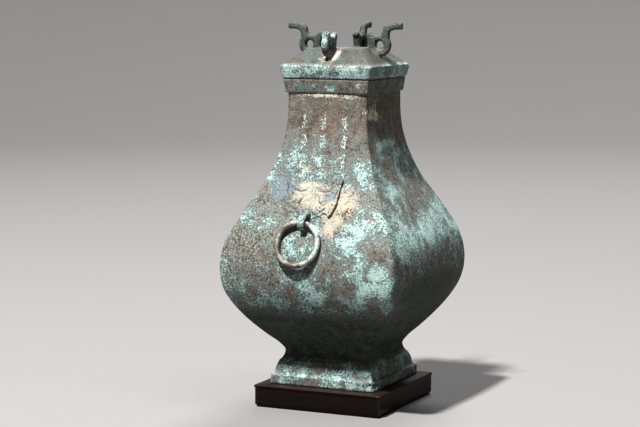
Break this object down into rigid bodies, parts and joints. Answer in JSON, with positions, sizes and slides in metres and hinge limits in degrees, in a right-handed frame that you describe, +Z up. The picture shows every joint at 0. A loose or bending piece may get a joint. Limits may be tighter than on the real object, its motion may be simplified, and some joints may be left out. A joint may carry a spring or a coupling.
{
  "type": "bronze lidded jar",
  "caption": "Square bronze wine jar with bulging body, stepped foot, masks holding swinging rings, a lift-off lid with horned finials, on a low fitted wooden stand.",
  "frame": {"origin": "middle of the stand's underside", "axes": "+Z up; -Y is the face with the row of strokes, its mask and ring; +X to the right seen from that face"},
  "size_m": [0.244, 0.264, 0.4815],
  "materials": {
    "aged_bronze": "matt corroded bronze, grey-brown with mint and turquoise crust",
    "ring_bronze": "smooth rubbed bronze, pinkish brown to grey-green",
    "dark_wood": "very dark red-brown hardwood, semi-gloss"
  },
  "bodies": {
    "vessel": {"wood_stand": "dark_wood", "jar": "aged_bronze", "lid": "aged_bronze", "mask_front": "aged_bronze", "mask_back": "aged_bronze"},
    "front_ring": {"ring_front": "ring_bronze"},
    "back_ring": {"ring_back": "ring_bronze"}
  },
  "joints": [
    {"name": "front_ring_swing", "type": "hinge", "parent": "vessel", "child": "front_ring", "pos_m": [-0.00552, -0.11005, 0.24016], "axis": [-1, 0, 0], "range_deg": [0, 165]},
    {"name": "back_ring_swing", "type": "hinge", "parent": "vessel", "child": "back_ring", "pos_m": [0.00552, 0.11005, 0.24016], "axis": [1, 0, 0], "range_deg": [0, 165]}
  ]
}
